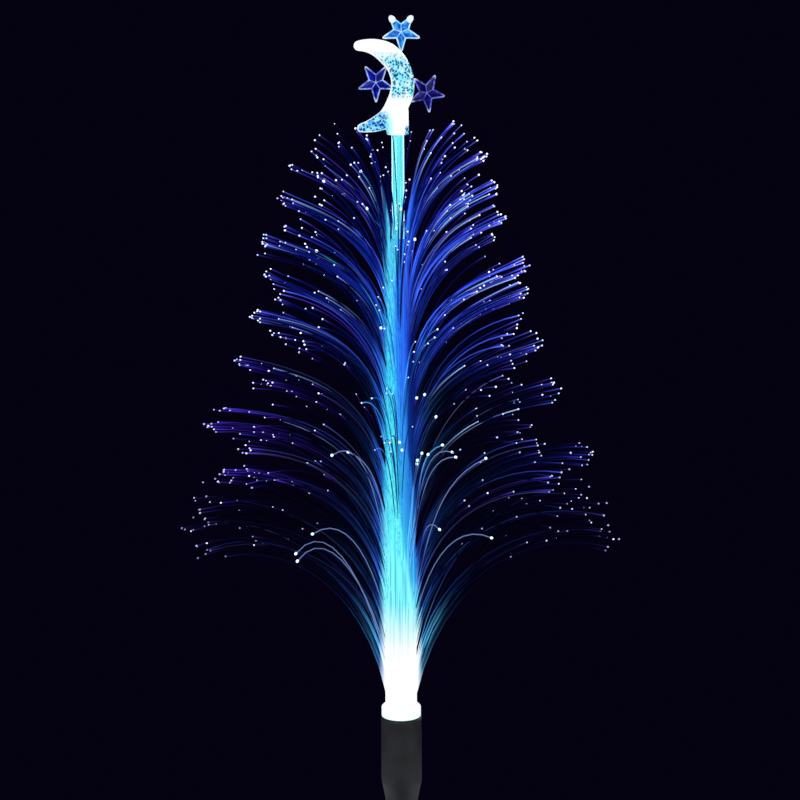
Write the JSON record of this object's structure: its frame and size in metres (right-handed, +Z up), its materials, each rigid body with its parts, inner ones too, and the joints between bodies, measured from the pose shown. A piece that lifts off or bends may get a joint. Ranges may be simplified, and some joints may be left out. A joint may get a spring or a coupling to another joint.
{
  "type": "solar stake light",
  "caption": "Garden stake light: a fibre-optic tree with a moon-and-stars topper on a spiked pole, fed by a tilting solar box on a swing arm.",
  "frame": {"origin": "on the post's axis at the ground line, the underside of the spike's stop flange", "axes": "+Z up along the post, -Y towards the front, where the solar box hangs, +X to the right seen from the front"},
  "size_m": [0.28, 0.2527, 0.7903],
  "materials": {
    "black_plastic": "satin",
    "pole_paint": "satin",
    "rubber": "matte",
    "white_board": "matte",
    "led_lens": "clear",
    "white_plastic": "gloss",
    "collar_clear": "frosted, lit from inside",
    "fibre_bundle": "polished fibre ends",
    "rod_clear": "clear, lit from below",
    "fibre": "clear fibre, lit from its root",
    "moon_clear": "clear with bubbles, lit from the stem",
    "star_clear": "clear and faceted",
    "knob_plastic": "matte",
    "solar_cell": "glossy over dark cells",
    "steel": "satin",
    "green_board": "satin",
    "battery_wrap": "gloss",
    "nickel": "bright",
    "switch_plastic": "matte",
    "button_red": "matte"
  },
  "bodies": {
    "post": {"ground_spike": "black_plastic", "pole": "pole_paint", "pole_grommet": "rubber", "lamp_head": "black_plastic", "led_board": "white_board", "led": "led_lens", "light_funnel": "white_plastic", "head_seal": "rubber", "collar": "collar_clear", "fibre_root": "fibre_bundle", "light_rod": "rod_clear", "fibre_tier_01": "fibre", "fibre_tier_02": "fibre", "fibre_tier_03": "fibre", "fibre_tier_04": "fibre", "fibre_tier_05": "fibre", "fibre_tier_06": "fibre", "fibre_tier_07": "fibre", "fibre_tier_08": "fibre", "fibre_tier_09": "fibre", "fibre_tier_10": "fibre", "moon": "moon_clear", "star_top": "star_clear", "star_left": "star_clear", "star_right": "star_clear"},
    "arm": {"swing_arm": "black_plastic"},
    "clamp_knob": {"clamp_knob": "knob_plastic"},
    "solar_box": {"rear_shell": "black_plastic", "front_frame": "black_plastic", "solar_panel": "solar_cell", "panel_gasket": "rubber", "housing_screws": "steel", "circuit_board": "green_board", "board_screws": "steel", "battery": "battery_wrap", "battery_contacts": "nickel", "battery_cover": "black_plastic", "cover_seal": "rubber", "cover_screws": "steel", "switch_body": "switch_plastic", "button_ring": "rubber", "lead_gland": "knob_plastic", "hinge_bolt": "steel"},
    "tilt_knob": {"tilt_knob": "knob_plastic"},
    "power_button": {"power_button": "button_red"}
  },
  "joints": [
    {"name": "arm_swivel", "type": "hinge", "parent": "post", "child": "arm", "pos_m": [0, 0, 0.085], "axis": [0, 0, 1], "range_deg": [-170, 170]},
    {"name": "clamp_turn", "type": "hinge", "parent": "arm", "child": "clamp_knob", "pos_m": [0, 0.02, 0.085], "axis": [0, 1, 0], "range_deg": [-180, 180]},
    {"name": "panel_tilt", "type": "hinge", "parent": "arm", "child": "solar_box", "pos_m": [0, -0.052, 0.085], "axis": [1, 0, 0], "range_deg": [-40, 50]},
    {"name": "tilt_knob_turn", "type": "hinge", "parent": "solar_box", "child": "tilt_knob", "pos_m": [0.015, -0.052, 0.085], "axis": [1, 0, 0], "range_deg": [-180, 180]},
    {"name": "button_press", "type": "slide", "parent": "solar_box", "child": "power_button", "axis": [0, -0.6428, 0.766], "range_m": [0, 0.0015], "stiffness_N_per_m": 500}
  ]
}
